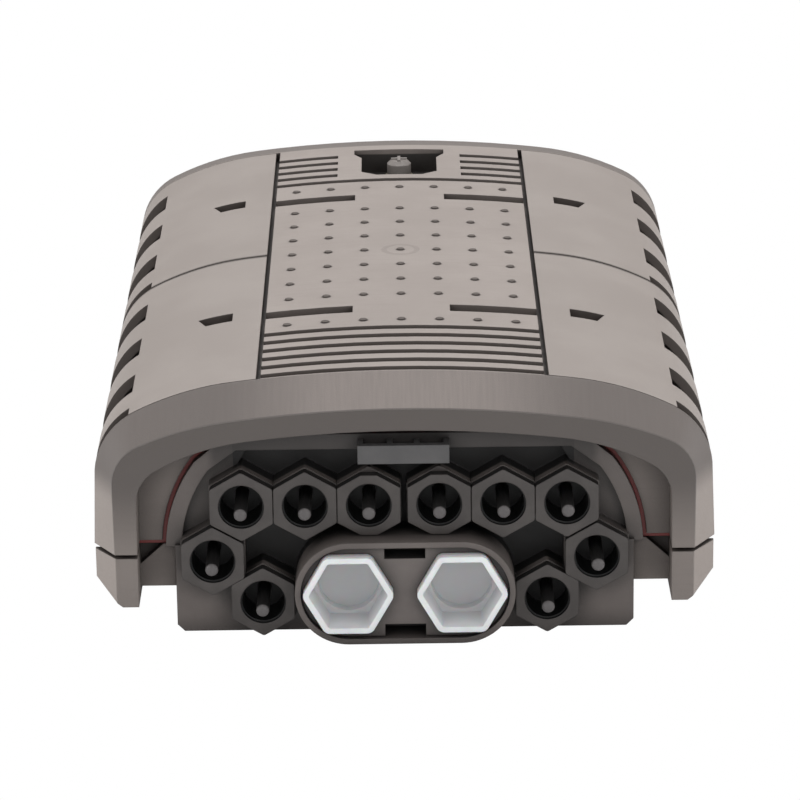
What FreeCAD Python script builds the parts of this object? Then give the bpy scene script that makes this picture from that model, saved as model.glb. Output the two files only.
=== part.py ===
import FreeCAD, Part
import math
import os
import Sketcher

# Outdoor fibre splice box: a tray-shaped base, a domed cover held by four hinged side latches,
# and an end plate with ten blanked drop ports and one oval main port.
# +X is right as seen from the port end, +Y runs to the rear, +Z is up. Millimetres and degrees.

SIZES = {
    # outer section of the cover: crown, blend and shoulder arcs, then a drafted side
    "crest": 93.8, "crown_r": 470.0, "blend_r": 103.0, "blend_a": 26.8, "shoulder_r": 25.5,
    "shoulder_a": 85.0, "half_width": 106.6, "draft": 0.955847,
    # visor: section of its front face and of the mouth behind it
    "face_crest": 83.8, "face_crown_r": 450.0, "face_blend_r": 115.0, "face_blend_a": 23.3,
    "face_shoulder_r": 14.6, "face_shoulder_a": 87.0, "face_inset": 7.8, "face_draft": -0.146356,
    "mouth_crest": 76.3, "mouth_crown_r": 440.0, "mouth_blend_r": 83.4, "mouth_blend_a": 29.1,
    "mouth_shoulder_r": 13.6, "mouth_shoulder_a": 88.0, "mouth_inset": 15.4, "mouth_draft": 0.203467,
    # stations along the length
    "face_y": -152.5, "visor_l": 12.5, "mouth_depth": 14.5, "plate_depth": 5.0, "split_y": 5.6,
    "rim_l": 7.5, "rear_y": 157.5, "strip_mid": 2.5,
    # shell walls and the seam between the two shells
    "wall": 3.0, "latch_wall": 3.2, "latch_gap": 0.4, "play": 1.0, "cover_foot": 32.7, "base_top": 31.3,
    "rail_in": 10.6, "inner_in": 15.4, "core_in": 26.6, "core_low_in": 9.6, "core_low_z": 50.0,
    "core_top_thin": 0.8, "core_low_thin": 1.2, "overcut": 1.0,
    # centre strip with its pips, ribs, bars and valve recess
    "strip_half": 48.2, "edge_gap": 1.6, "rib_depth": 3.0, "rib_pitch": 9.1, "rib_slot": 4.0,
    "rib_past": 0.5, "strip_drop": 12.0, "first_rib": 94.5, "rear_rib": 96.5, "short_rib_x": 24.5,
    "pip_r": 1.35, "pip_rise": 0.4, "pip_root": 3.0, "pip_x": 13.45, "pip_y": 18.45, "pip_end_y": 85.5,
    "bar_x": 17.3, "bar_y": 72.0, "bar_w": 7.6, "bar_depth": 5.0, "well_half": 15.0, "well_flare": 18.0,
    "well_nose": 9.0, "well_corner": 5.0, "well_l": 37.5, "well_in": 13.5, "well_shelf": 6.0,
    "well_depth": 9.8, "well_drop": 5.0,
    # latches
    "slot_in": 13.1, "slot_low": 48.0, "slot_w": 19.0, "slot_1": 33.8, "slot_2": 75.0, "slot_3": 115.8,
    "slot_end": 7.0, "tool_y": 73.5, "tool_x": 60.2, "tool_w": 12.5, "tool_l": 9.0, "tool_skew": 3.0,
    "latch_foot": 33.2, "latch_foot_in": 0.1, "axle_in": 5.8, "axle_z": 27.0, "barrel_r": 4.0,
    "axle_r": 2.0, "axle_fit": 0.05, "lug_fit": 0.15, "barrel_in": 7.0, "lug_w": 5.0, "lug_r": 3.6,
    "lug_in": 0.8, "pin_short": 0.4, "arm_x": 2.4, "arm_rise": 3.0, "arm_root": 2.0,
    # base
    "base_inset": 0.4, "leg_low": 13.6, "web_low": 15.8, "leg_bevel_x": 9.5, "leg_bevel_z": 7.5,
    "belly_in": 27.6, "belly_low": 0.6, "belly_bevel": 2.5, "recess_z": 19.4, "wedge_low": 24.0,
    "wedge_in": 3.5, "foot_x": 58.0, "foot_w": 14.0, "foot_l": 240.0, "rear_wall": 3.5, "boss_r": 4.5,
    "boss_top": 16.0, "boss_x": 56.0, "boss_y": 100.0, "screw_r": 1.6, "screw_fit": 0.1,
    "screw_hole_fit": 0.3, "screw_slot": 0.8, "screw_head_r": 3.0, "screw_head": 2.0,
    # end plate, its arch and the seal between the shells
    "arch_foot_in": 24.6, "arch_side_z": 33.0, "arch_top_in": 35.1, "arch_top_z": 62.0, "arch_r": 53.5,
    "arch_crest_in": 46.6, "arch_crest_z": 71.5, "arch_lean": 0.5, "band": 5.5, "band_rise": 3.0,
    "seal": 1.4, "seal_inner": 14.2, "seal_outer": 12.0, "seal_front": 1.0, "seal_rear": 2.0,
    "seal_lip": 0.5,
    # drop ports: hexagonal tubes, each with a blanking plug
    "port_first": 12.0, "port_pitch": 21.8, "port_high_z": 48.1, "port_mid_x": 65.8, "port_mid_z": 28.4,
    "port_low_x": 48.8, "port_low_z": 13.3, "block_fit": 0.2, "tube_out": 6.5, "tongue_out": 4.5,
    "pit_x": 58.0, "pit_low": 20.0, "pit_side": 58.0, "pit_top_x": 54.0, "pit_top": 65.0,
    "pit_floor": 1.2, "tube_hex": 11.1, "tube_round": 1.4, "tube_bore": 8.5, "plug_hex": 10.75,
    "plug_round": 1.2, "plug_front": 10.5, "plug_bore": 7.8, "plug_depth": 15.0, "stem_r": 8.2,
    "stem_in": 14.0, "stem_wall": 0.9, "pin_r": 2.25, "pin_out": 9.0, "pin_round": 1.6,
    "flat_half": 10.8, "lip": 1.4,
    # main port: oval collar, insert and two caps
    "oval_z": 18.5, "oval_mid": 19.25, "oval_r": 18.5, "oval_wall": 2.0, "oval_out": 17.5,
    "insert_gap": 0.15, "insert_in": 2.0, "insert_l": 12.5, "notch_x": 7.0, "notch_z": 4.5,
    "notch_l": 8.75, "cap_x": 19.5, "cap_hex": 13.75, "cap_round": 3.0, "cap_wall": 2.0, "cap_out": 2.0,
    "cap_l": 20.0, "cup_hex_l": 14.0, "cup_r": 10.6,
    # front clip above the drop ports
    "clip_half": 15.6, "clip_low": 63.0, "clip_high": 69.6, "clip_t": 2.6, "clip_out": 10.4,
    "clip_inner": 5.616, "clip_post": 2.0,
    # test valve
    "valve_in": 22.0, "valve_fit": 0.3, "valve_thread": 1.0, "valve_r": 5.6, "valve_h": 3.0,
    "stem_h": 6.2, "stem_valve_r": 3.0, "core_r": 1.6, "core_fit": 0.1, "core_tip_r": 0.64,
    "core_tip": 0.4, "cap_r": 4.8, "cap_h": 6.4, "cap_dome": 1.6, "cap_bore": 3.05, "cap_seat": 0.1,
    "cap_roof": 1.2, "cross_half": 3.2, "cross_w": 0.6, "nut_hex": 6.5, "nut_round": 0.4, "nut_h": 3.0,
    "nut_fit": 0.1,
    # splice organiser
    "plate_x": 66.0, "plate_y": 112.0, "plate_z": 16.0, "plate_t": 2.0, "cheek_h": 22.0,
    "cheek_x": 36.0, "cheek_t": 3.0, "hinge_rise": 2.0, "hinge_fit": 0.05, "hinge_past": 2.0,
    "tray_x": 60.0, "tray_y": 86.0, "tray_h": 8.5, "tray_t": 1.6, "tray_r": 12.0, "tray_z": 20.0,
    "tray_pitch": 9.5, "tray_mid": 4.0, "drum_r": 22.0, "drum_x": 30.0, "drum_y": 48.0,
    "drum_root": 0.5, "drum_low": 1.5, "comb_x": 20.0, "comb_y": 20.8, "comb_floor": 1.2, "comb_h": 5.0,
    "comb_slot": 2.4, "comb_pitch": 5.0, "hinge_y": 98.0, "hinge_r": 2.0, "hinge_eye": 4.0,
    "lid_t": 1.8, "strap_w": 16.0, "strap_t": 1.2, "strap_gap": 0.4, "clamp_x": 40.0,
    "clamp_y": -120.0, "clamp_w": 26.0, "clamp_h": 9.0, "clamp_l": 14.0, "clamp_groove": 2.5,
}

ROOT3 = math.sqrt(3.0)

doc = FreeCAD.newDocument("SpliceBox")
sheet = doc.addObject("Spreadsheet::Sheet", "Sizes")
for row, (alias, number) in enumerate(SIZES.items(), start=1):
    sheet.set("A%d" % row, alias)
    sheet.set("B%d" % row, str(number))
    sheet.setAlias("B%d" % row, alias)
doc.recompute()


class Size:
    """A length that keeps its spreadsheet formula beside its present value."""

    def __init__(self, text, value):
        self.text = text
        self.value = value

    def mixed(self, other, sign, value):
        return Size("(%s %s %s)" % (self.text, sign, other.text), value)

    def __add__(self, other):
        other = as_size(other)
        return self.mixed(other, "+", self.value + other.value)

    def __sub__(self, other):
        other = as_size(other)
        return self.mixed(other, "-", self.value - other.value)

    def __mul__(self, other):
        other = as_size(other)
        return self.mixed(other, "*", self.value * other.value)

    def __truediv__(self, other):
        other = as_size(other)
        return self.mixed(other, "/", self.value / other.value)

    def __rsub__(self, other):
        return as_size(other) - self

    def __neg__(self):
        return Size("(0 - %s)" % self.text, -self.value)

    __radd__ = __add__
    __rmul__ = __mul__


def as_size(item):
    if isinstance(item, Size):
        return item
    return Size("(%.6f)" % item, float(item))


def size(alias):
    return Size("Sizes.%s" % alias, SIZES[alias])


def sine(angle):
    return Size("sin(%s)" % angle.text, math.sin(math.radians(angle.value)))


def cosine(angle):
    return Size("cos(%s)" % angle.text, math.cos(math.radians(angle.value)))


def root(item):
    return Size("sqrt(%s)" % item.text, math.sqrt(item.value))


def in_from_side(alias):
    """Distance from the middle plane of something set in from the box's widest side."""
    return size("half_width") - size(alias)


# Stations that follow from the sizes. A cut reaches past the solid, or an added feature into it, by OVER.
OVER = size("overcut")
FACE_Y, REAR_Y = size("face_y"), size("rear_y")
VISOR_Y = FACE_Y + size("visor_l")
WALL_Y = FACE_Y + size("mouth_depth")
PLATE_BACK = WALL_Y + size("plate_depth")
STRIP_END = REAR_Y - size("rim_l")
VALVE_Y = REAR_Y - size("valve_in")
WELL_FLOOR = size("crest") - size("well_depth")
BASE_HALF = in_from_side("base_inset")
RAIL_X = in_from_side("rail_in")
INNER_X = in_from_side("inner_in")
AXLE_X = in_from_side("axle_in")
BELLY_HALF = in_from_side("belly_in")
ARCH_FOOT = in_from_side("arch_foot_in")
HALF_WIDTHS = {"": size("half_width"), "face_": in_from_side("face_inset"),
               "mouth_": in_from_side("mouth_inset")}


# Outlines. A corner is (x, y), or (x, y, (radius, centre x, centre y)) when an arc leaves it.

def box_loop(x0, x1, y0, y1):
    return [(x0, y0), (x1, y0), (x1, y1), (x0, y1)]


def hex_loop(x, y, half_flats, corner, turn):
    """Hexagon with rounded corners; turn is 0 for a flat at the top and 30 for a corner there."""
    reach = (half_flats - corner) * (2.0 / ROOT3)
    loop = []
    for step in range(6):
        middle = math.radians(60 * step + turn)
        centre_x, centre_y = x + reach * math.cos(middle), y + reach * math.sin(middle)
        before, after = middle - math.radians(30), middle + math.radians(30)
        loop.append((centre_x + corner * math.cos(before), centre_y + corner * math.sin(before),
                     (corner, centre_x, centre_y)))
        loop.append((centre_x + corner * math.cos(after), centre_y + corner * math.sin(after)))
    return loop


def cut_hex_loop(x, y, half_flats, half_height):
    """Hexagon whose top and bottom corners are cut level."""
    side = half_flats * (1.0 / ROOT3)
    step = (side * 2 - half_height) * ROOT3
    return [(x + step, y + half_height), (x - step, y + half_height), (x - half_flats, y + side),
            (x - half_flats, y - side), (x - step, y - half_height), (x + step, y - half_height),
            (x + half_flats, y - side), (x + half_flats, y + side)]


def oval_loop(y, mid, radius):
    return [(-mid, y + radius, (radius, -mid, y)), (-mid, y - radius),
            (mid, y - radius, (radius, mid, y)), (mid, y + radius)]


def round_box_loop(half_x, y0, y1, radius):
    return [(-half_x + radius, y0), (half_x - radius, y0, (radius, half_x - radius, y0 + radius)),
            (half_x, y0 + radius), (half_x, y1 - radius, (radius, half_x - radius, y1 - radius)),
            (half_x - radius, y1), (-half_x + radius, y1, (radius, -half_x + radius, y1 - radius)),
            (-half_x, y1 - radius), (-half_x, y0 + radius, (radius, -half_x + radius, y0 + radius))]


class Arch:
    """The three tangent arcs of one half of a domed section, at a given inset from it.

    The crown arc turns just so far that the shoulder arc ends at the draft's distance from the side.
    """

    def __init__(self, prefix, inset, side=1):
        crown, blend, shoulder = (size(prefix + part) for part in ("crown_r", "blend_r", "shoulder_r"))
        angles = [size(prefix + part) for part in ("blend_a", "shoulder_a")]
        turns = [(sine(angle), cosine(angle)) for angle in angles]
        span = HALF_WIDTHS[prefix] - size(prefix + "draft")
        lean = (span - (blend - shoulder) * turns[0][0] - shoulder * turns[1][0]) / (crown - blend)
        turns.insert(0, (lean, root(1 - lean * lean)))
        centre = (as_size(0), size(prefix + "crest") - crown)
        centres = [centre]
        for outer, inner, (across, up) in ((crown, blend, turns[0]), (blend, shoulder, turns[1])):
            centre = (centre[0] + (outer - inner) * across, centre[1] + (outer - inner) * up)
            centres.append(centre)
        self.side = side
        self.radii = [radius - inset for radius in (crown, blend, shoulder)]
        self.centres = centres
        self.ends = []
        for radius, (x, y), (across, up) in zip(self.radii, centres, turns):
            self.ends.append((x + radius * across, y + radius * up))

    def arc(self, index, side=None):
        side = side or self.side
        return (self.radii[index], self.centres[index][0] * side, self.centres[index][1])

    def end(self, index, side=None):
        side = side or self.side
        return (self.ends[index][0] * side, self.ends[index][1])

    def on_crown(self, x):
        return self.centres[0][1] + root(self.radii[0] * self.radii[0] - x * x)

    def on_blend(self, x):
        reach = x - self.centres[1][0]
        return self.centres[1][1] + root(self.radii[1] * self.radii[1] - reach * reach)


def dome_loop(prefix, foot_z):
    """Closed section under all three arcs, mirrored about the middle."""
    arch, foot_x = Arch(prefix, 0), HALF_WIDTHS[prefix]
    return [(-foot_x, foot_z), arch.end(2, -1) + (arch.arc(2, -1),), arch.end(1, -1) + (arch.arc(1, -1),),
            arch.end(0, -1) + (arch.arc(0),), arch.end(0) + (arch.arc(1),),
            arch.end(1) + (arch.arc(2),), arch.end(2), (foot_x, foot_z)]


def core_loop(inset, foot_z):
    """Section of the cover under the latches: its shoulder is flattened to leave a channel."""
    arch = Arch("", size("latch_wall") + size("latch_gap") + inset)
    top_x = in_from_side("core_in") - inset * size("core_top_thin")
    top = arch.on_blend(top_x)
    low_x = in_from_side("core_low_in") - inset * size("core_low_thin")
    foot_x = RAIL_X - inset * size("core_low_thin")
    return [(-foot_x, foot_z), (-low_x, size("core_low_z")), (-top_x, top, arch.arc(1, -1)),
            arch.end(0, -1) + (arch.arc(0),), arch.end(0) + (arch.arc(1),), (top_x, top),
            (low_x, size("core_low_z")), (foot_x, foot_z)]


def crown_loop(x0, x1, low, inset):
    """Patch between a level floor and the crown."""
    arch = Arch("", inset)
    return [(x0, low), (x0, arch.on_crown(x0), arch.arc(0)), (x1, arch.on_crown(x1)), (x1, low)]


def crown_band(x0, x1, inset):
    """Thin band that follows the crown, from just above it to the inset."""
    under = Arch("", inset)
    over = Arch("", -OVER)
    return [(x0, under.on_crown(x0), under.arc(0)), (x1, under.on_crown(x1)),
            (x1, over.on_crown(x1), over.arc(0)), (x0, over.on_crown(x0))]


def arch_loop(out):
    """Outline of the end plate's arch, widened by the given amount; its two sides are arcs."""
    foot_x, foot_z, radius = ARCH_FOOT, size("arch_side_z"), size("arch_r")
    top_x, top_z = in_from_side("arch_top_in"), size("arch_top_z")
    half_x, half_z = (foot_x - top_x) / 2, (top_z - foot_z) / 2
    chord = root(half_x * half_x + half_z * half_z)
    sagitta_leg = root(radius * radius - chord * chord)
    centre_x = (foot_x + top_x) / 2 - sagitta_leg * half_z / chord
    centre_z = (foot_z + top_z) / 2 - sagitta_leg * half_x / chord
    grown = (radius + out) / radius
    side_x, side_z = centre_x + (foot_x - centre_x) * grown, centre_z + (foot_z - centre_z) * grown
    high_x, high_z = centre_x + (top_x - centre_x) * grown, centre_z + (top_z - centre_z) * grown
    crest_x = in_from_side("arch_crest_in") + out * size("arch_lean")
    crest_z = size("arch_crest_z") + out
    low_z = size("base_top")
    return [(-side_x, low_z), (-side_x, side_z, (radius + out, -centre_x, centre_z)),
            (-high_x, high_z), (-crest_x, crest_z), (crest_x, crest_z),
            (high_x, high_z, (radius + out, centre_x, centre_z)), (side_x, side_z), (side_x, low_z)]


# Bodies and features.

def new_body(name, x=0, y=0, z=0):
    body = doc.addObject("PartDesign::Body", name)
    body.Label = name
    for axis, place in zip("xyz", (x, y, z)):
        if isinstance(place, Size):
            body.setExpression("Placement.Base." + axis, place.text)
    return body


def plane_of(body, role):
    return [item for item in body.Origin.OriginFeatures if item.Role == role][0]


def fix_point(sketch, edge, end, x, y):
    for kind, value in (("DistanceX", as_size(x)), ("DistanceY", as_size(y))):
        index = sketch.addConstraint(Sketcher.Constraint(kind, -1, 1, edge, end, value.value))
        sketch.setExpression("Constraints[%d]" % index, value.text)


def fix_radius(sketch, edge, radius):
    index = sketch.addConstraint(Sketcher.Constraint("Radius", edge, radius.value))
    sketch.setExpression("Constraints[%d]" % index, radius.text)


def fix_middle(sketch, edge, x, y, level):
    """Centre of a half circle, fixed across its chord."""
    kind, value = ("DistanceY", y) if level else ("DistanceX", x)
    index = sketch.addConstraint(Sketcher.Constraint(kind, -1, 1, edge, 3, value.value))
    sketch.setExpression("Constraints[%d]" % index, value.text)


def draw_circle(sketch, x, y, radius):
    centre = FreeCAD.Vector(as_size(x).value, as_size(y).value, 0)
    edge = sketch.addGeometry(Part.Circle(centre, FreeCAD.Vector(0, 0, 1), radius.value), False)
    fix_point(sketch, edge, 3, x, y)
    fix_radius(sketch, edge, radius)


def draw_loop(sketch, corners):
    ends = []
    for index, corner in enumerate(corners):
        x0, y0 = as_size(corner[0]), as_size(corner[1])
        x1, y1 = (as_size(item) for item in corners[(index + 1) % len(corners)][:2])
        start, stop = 1, 2
        if len(corner) == 2:
            ends_of_line = FreeCAD.Vector(x0.value, y0.value, 0), FreeCAD.Vector(x1.value, y1.value, 0)
            edge = sketch.addGeometry(Part.LineSegment(*ends_of_line), False)
        else:
            radius, cx, cy = (as_size(item) for item in corner[2])
            angle0 = math.atan2(y0.value - cy.value, x0.value - cx.value)
            angle1 = math.atan2(y1.value - cy.value, x1.value - cx.value)
            if (angle1 - angle0) % (2 * math.pi) > math.pi + 1e-6:
                angle0, angle1 = angle1, angle0
                start, stop = 2, 1
            circle = Part.Circle(FreeCAD.Vector(cx.value, cy.value, 0), FreeCAD.Vector(0, 0, 1), radius.value)
            edge = sketch.addGeometry(Part.ArcOfCircle(circle, angle0, angle1), False)
            if abs((angle1 - angle0) % (2 * math.pi) - math.pi) > 1e-3:
                fix_radius(sketch, edge, radius)
            else:
                fix_middle(sketch, edge, cx, cy, abs(x1.value - x0.value) > abs(y1.value - y0.value))
        ends.append((edge, start, stop))
        fix_point(sketch, edge, start, x0, y0)
    for (edge, _, stop), (after, start, _) in zip(ends, ends[1:] + ends[:1]):
        sketch.addConstraint(Sketcher.Constraint("Coincident", edge, stop, after, start))


def new_sketch(body, name, role, offset, loops):
    sketch = body.newObject("Sketcher::SketchObject", name)
    sketch.AttachmentSupport = [(plane_of(body, role), "")]
    sketch.MapMode = "FlatFace"
    sketch.setExpression("AttachmentOffset.Base.z", as_size(offset).text)
    for loop in loops:
        if isinstance(loop, tuple):
            draw_circle(sketch, *loop)
        else:
            draw_loop(sketch, loop)
    return sketch


def prism(body, name, axis, low, high, loops, cut=False):
    """Straight feature between two stations on an axis; a cut removes, otherwise it adds."""
    low, high = as_size(low), as_size(high)
    role, offset = {"X": ("YZ_Plane", high if cut else low), "Y": ("XZ_Plane", -low if cut else -high),
                    "Z": ("XY_Plane", high if cut else low)}[axis]
    sketch = new_sketch(body, name + "Sketch", role, offset, loops)
    feature = body.newObject("PartDesign::Pocket" if cut else "PartDesign::Pad", name)
    feature.Profile = sketch
    feature.setExpression("Length", (high - low).text)
    sketch.Visibility = False
    doc.recompute()
    return feature


def loft(body, name, stations, cut=False):
    sketches = [new_sketch(body, "%sSection%d" % (name, number), "XZ_Plane", -as_size(y), [loop])
                for number, (y, loop) in enumerate(stations)]
    feature = body.newObject("PartDesign::SubtractiveLoft" if cut else "PartDesign::AdditiveLoft", name)
    feature.Profile = sketches[0]
    feature.Sections = sketches[1:]
    feature.Ruled = True
    doc.recompute()
    return feature


def turned(body, name, loop, cut=False):
    """Full turn about the local Z axis; the outline's x is the radius."""
    sketch = new_sketch(body, name + "Sketch", "XZ_Plane", 0, [loop])
    feature = body.newObject("PartDesign::Groove" if cut else "PartDesign::Revolution", name)
    feature.Profile = sketch
    feature.ReferenceAxis = (sketch, ["V_Axis"])
    feature.Angle = 360
    doc.recompute()
    return feature


def rounded(body, name, radius, rim_radius):
    """Rounds the circular edge of one radius at the body's front end."""
    base = body.Tip
    edges = ["Edge%d" % number for number, edge in enumerate(base.Shape.Edges, start=1)
             if isinstance(edge.Curve, Part.Circle) and abs(edge.Curve.Radius - rim_radius) < 0.01
             and abs(edge.BoundBox.YMin - base.Shape.BoundBox.YMin) < 0.01 and edge.BoundBox.YLength < 0.01]
    feature = body.newObject("PartDesign::Fillet", name)
    feature.Base = (base, edges)
    feature.setExpression("Radius", radius.text)
    doc.recompute()
    return feature


def repeated(body, feature, name, axis, pitch, count):
    pattern = body.newObject("PartDesign::LinearPattern", name)
    pattern.Originals = [feature]
    pattern.Direction = (plane_of(body, axis), [""])
    pattern.setExpression("Length", (pitch * (count - 1)).text)
    pattern.Occurrences = count
    body.Tip = pattern
    doc.recompute()
    return pattern


def build_base():
    body = new_body("base_shell")
    half, low, top = BASE_HALF, size("leg_low"), size("base_top")
    bevel_x, bevel_z = size("leg_bevel_x"), size("leg_bevel_z")
    belly, floor, corner = BELLY_HALF, size("belly_low"), size("belly_bevel")
    wall, inner, web = size("wall"), INNER_X, size("web_low")
    outer = [(corner - belly, floor), (belly - corner, floor), (belly, floor + corner), (belly, web),
             (inner, web), (inner, low), (half - bevel_x, low), (half, low + bevel_z), (half, top),
             (-half, top), (-half, low + bevel_z), (bevel_x - half, low), (-inner, low), (-inner, web),
             (-belly, web), (-belly, floor + corner)]
    prism(body, "Hull", "Y", FACE_Y, REAR_Y, [outer])
    inside_belly = belly - wall
    cavity = [(corner - inside_belly, floor + wall), (inside_belly - corner, floor + wall),
              (inside_belly, floor + wall + corner), (inside_belly, web + wall), (inner, web + wall),
              (inner, top + OVER), (-inner, top + OVER), (-inner, web + wall), (-inside_belly, web + wall),
              (-inside_belly, floor + wall + corner)]
    prism(body, "Cavity", "Y", PLATE_BACK, REAR_Y - size("rear_wall"), [cavity], cut=True)
    prism(body, "PortOpening", "Z", 0, top + OVER,
          [box_loop(-belly, belly, WALL_Y - OVER, PLATE_BACK + OVER)], cut=True)
    prism(body, "FrontOpening", "Z", 0, top + OVER,
          [box_loop(-inner, inner, FACE_Y - OVER, WALL_Y)], cut=True)
    slope = half - HALF_WIDTHS["face_"] + OVER
    for name, side in (("Right", 1), ("Left", -1)):
        bevel = [((half + OVER) * side, FACE_Y - OVER), ((half + OVER) * side, VISOR_Y),
                 ((half - slope) * side, FACE_Y - OVER)]
        prism(body, name + "LegBevel", "Z", 0, top + OVER, [bevel], cut=True)
        wedge = [(ARCH_FOOT * side, top + OVER), (inner * side, top + OVER),
                 (inner * side, size("wedge_low"))]
        prism(body, name + "Wedge", "Y", WALL_Y - OVER, WALL_Y + size("wedge_in"), [wedge], cut=True)
        prism(body, name + "HingeRecess", "Y", VISOR_Y, STRIP_END + size("play"),
              [box_loop(RAIL_X * side, (half + OVER) * side, size("recess_z"), top + OVER)], cut=True)
        axle_x, axle_z, lug = AXLE_X * side, size("axle_z"), size("lug_r")
        web = [(axle_x - lug, size("recess_z") - OVER), (axle_x - lug, axle_z, (lug, axle_x, axle_z)),
               (axle_x + lug, axle_z), (axle_x + lug, size("recess_z") - OVER)]
        starts = (VISOR_Y + size("lug_in"), size("split_y") - size("lug_in") - size("lug_w"),
                  size("split_y") + size("lug_in"), STRIP_END - size("lug_in") - size("lug_w"))
        for number, start in enumerate(starts):
            prism(body, "%sLug%d" % (name, number), "Y", start, start + size("lug_w"), [web])
        prism(body, name + "AxleBore", "Y", VISOR_Y + size("lug_in"), STRIP_END,
              [(axle_x, axle_z, size("axle_r") + size("lug_fit"))], cut=True)
    feet = [box_loop(size("foot_x") * side, (size("foot_x") + size("foot_w")) * side,
                     -size("foot_l") / 2, size("foot_l") / 2) for side in (1, -1)]
    prism(body, "Feet", "Z", 0, floor + OVER, feet)
    posts = [(size("boss_x") * sx, size("boss_y") * sy, size("boss_r")) for sx in (1, -1) for sy in (1, -1)]
    prism(body, "Bosses", "Z", floor + OVER, size("boss_top"), posts)
    holes = [(x, y, size("screw_r")) for x, y, _ in posts]
    prism(body, "BossHoles", "Z", floor + wall, size("boss_top") + OVER, holes, cut=True)
    return body


def build_cover():
    body = new_body("cover_shell")
    crest, foot = size("crest"), size("cover_foot")
    loft(body, "Visor", [(FACE_Y, dome_loop("face_", foot)), (VISOR_Y, dome_loop("", foot))])
    prism(body, "Core", "Y", VISOR_Y, REAR_Y, [core_loop(as_size(0), foot)])
    prism(body, "RearRim", "Y", STRIP_END, REAR_Y, [dome_loop("", foot)])
    strip = size("strip_half")
    prism(body, "Strip", "Y", VISOR_Y, REAR_Y,
          [crown_loop(-strip, strip, crest - size("strip_drop"), as_size(0))])
    prism(body, "Mouth", "Y", FACE_Y - OVER, WALL_Y, [dome_loop("mouth_", foot - OVER)], cut=True)
    prism(body, "Cavity", "Y", PLATE_BACK, REAR_Y - size("rear_wall"),
          [core_loop(size("wall"), foot - OVER)], cut=True)
    prism(body, "ArchOpening", "Y", WALL_Y - OVER, PLATE_BACK + OVER, [arch_loop(size("seal"))], cut=True)
    across = strip + size("rib_past")
    prism(body, "FrontGrooves", "Y", size("strip_mid") - size("first_rib") - size("rib_slot") / 2,
          size("strip_mid") - size("first_rib") + size("rib_slot") / 2,
          [crown_band(-across, across, size("rib_depth"))], cut=True)
    repeated(body, body.Tip, "FrontGrooveRow", "XZ_Plane", size("rib_pitch"), 6)
    rear = size("strip_mid") + size("rear_rib")
    prism(body, "RearGroove", "Y", rear - size("rib_slot") / 2, rear + size("rib_slot") / 2,
          [crown_band(-across, across, size("rib_depth"))], cut=True)
    rear = rear + size("rib_pitch")
    short = size("short_rib_x")
    grooves = prism(body, "ShortGrooves", "Y", rear - size("rib_slot") / 2, rear + size("rib_slot") / 2,
                    [crown_band(short, across, size("rib_depth")),
                     crown_band(-across, -short, size("rib_depth"))], cut=True)
    row = repeated(body, grooves, "ShortGrooveRow", "XZ_Plane", size("rib_pitch"), 4)
    row.Reversed = True
    doc.recompute()
    bars = [box_loop(size("bar_x") * sx, (strip + OVER) * sx,
                     size("strip_mid") + size("bar_y") * sy - size("bar_w") / 2,
                     size("strip_mid") + size("bar_y") * sy + size("bar_w") / 2)
            for sx in (1, -1) for sy in (1, -1)]
    prism(body, "Bars", "Z", crest - size("bar_depth"), crest + OVER, bars, cut=True)
    end, shelf, corner = REAR_Y - size("well_in"), size("well_shelf"), size("well_corner")
    front, nose, half, flare = end - size("well_l"), size("well_nose"), size("well_half"), size("well_flare")
    well = [(-nose, front), (nose, front), (half, front + corner), (half, end - shelf * 2),
            (flare, end - shelf), (flare, end), (-flare, end), (-flare, end - shelf),
            (-half, end - shelf * 2), (-half, front + corner)]
    shell, floor = size("wall"), WELL_FLOOR
    prism(body, "WellWalls", "Z", floor - shell, crest - size("well_drop"),
          [box_loop(-flare - shell, flare + shell, front - shell, end + shell)])
    prism(body, "Well", "Z", floor, crest + OVER, [well], cut=True)
    prism(body, "ValveHole", "Z", floor - shell * 2, floor + OVER,
          [(0, VALVE_Y, size("stem_valve_r") + size("valve_fit"))], cut=True)
    for column in range(4):
        x = size("pip_x") * column
        radius = size("crown_r")
        top = crest - radius + root(radius * radius - x * x) + size("pip_rise")
        rows = [size("pip_y") * step for step in range(-3, 4)] + [-size("pip_end_y"), size("pip_end_y")]
        pips = [(x * side, size("strip_mid") + y, size("pip_r")) for y in rows
                for side in ((1, -1) if column else (1,))]
        prism(body, "PipColumn%d" % column, "Z", top - size("pip_root"), top, pips)
    return body


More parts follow.
